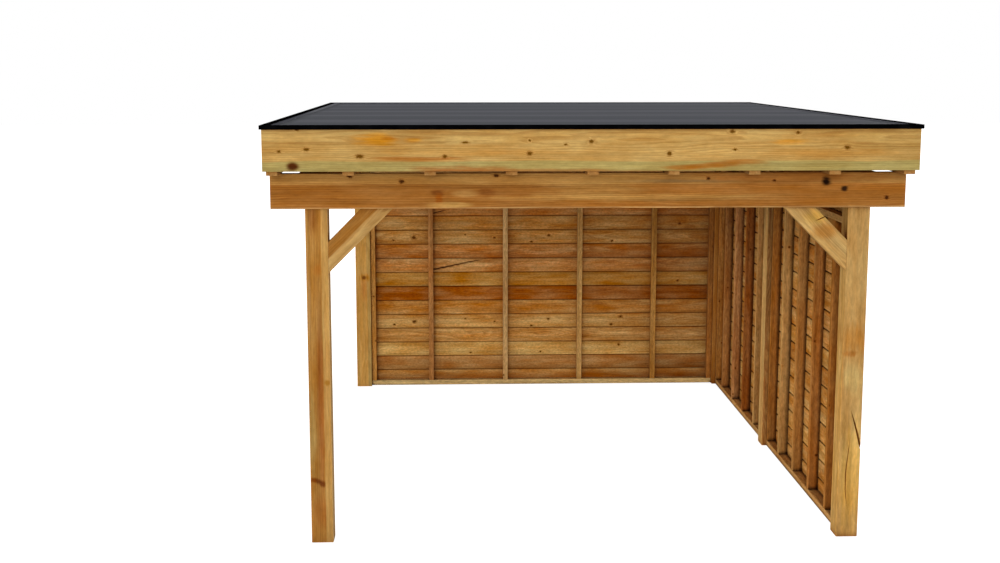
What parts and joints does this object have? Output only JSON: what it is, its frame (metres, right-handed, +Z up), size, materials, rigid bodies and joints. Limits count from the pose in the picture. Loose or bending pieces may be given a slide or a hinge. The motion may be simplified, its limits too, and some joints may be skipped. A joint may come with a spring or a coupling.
{
  "type": "freestanding veranda",
  "caption": "Open timber veranda with square posts, braced beams, a flat membrane roof, and boarded walls on the back and the right side.",
  "frame": {"origin": "on the ground, at the middle of the plan", "axes": "+Z up, +Y from the open front to the boarded back, +X to the boarded right side"},
  "size_m": [4.044, 5.044, 2.698],
  "materials": {
    "post_wood": "planed softwood, honey brown, drying cracks",
    "beam_wood": "planed softwood, orange brown, dark knots",
    "brace_wood": "planed softwood, light tan",
    "rafter_wood": "planed softwood, honey brown",
    "fascia_wood": "planed softwood, straw yellow, small dark knots",
    "deck_wood": "planed tongued roof boards",
    "frame_wood": "sawn softwood battens, pinkish tan",
    "board_wood": "tongued wall boards, tan to red brown, each board its own tone",
    "roof_membrane": "matt dark grey rubber sheet",
    "edge_trim": "black coated aluminium"
  },
  "bodies": {
    "root": {"post_front_left": "post_wood", "post_front_right": "post_wood", "post_middle_right": "post_wood", "post_back_left": "post_wood", "post_back_right": "post_wood", "beam_front": "beam_wood", "beam_back": "beam_wood", "beam_left": "beam_wood", "beam_right": "beam_wood", "brace_front_left": "brace_wood", "brace_front_right": "brace_wood", "brace_left_front": "brace_wood", "brace_left_back": "brace_wood", "rafter_1": "rafter_wood", "rafter_2": "rafter_wood", "rafter_3": "rafter_wood", "rafter_4": "rafter_wood", "rafter_5": "rafter_wood", "rafter_6": "rafter_wood", "rafter_7": "rafter_wood", "rafter_8": "rafter_wood", "rafter_9": "rafter_wood", "fascia_front": "fascia_wood", "fascia_back": "fascia_wood", "fascia_left": "fascia_wood", "fascia_right": "fascia_wood", "roof_deck": "deck_wood", "roof_membrane": "roof_membrane", "trim_front": "edge_trim", "trim_back": "edge_trim", "trim_left": "edge_trim", "trim_right": "edge_trim", "back_wall_bottom_plate": "frame_wood", "back_wall_top_plate": "frame_wood", "back_wall_studs": "frame_wood", "side_front_bottom_plate": "frame_wood", "side_front_top_plate": "frame_wood", "side_front_studs": "frame_wood", "side_back_bottom_plate": "frame_wood", "side_back_top_plate": "frame_wood", "side_back_studs": "frame_wood", "back_wall_boards": "board_wood", "side_front_boards": "board_wood", "side_back_boards": "board_wood"}
  },
  "joints": []
}
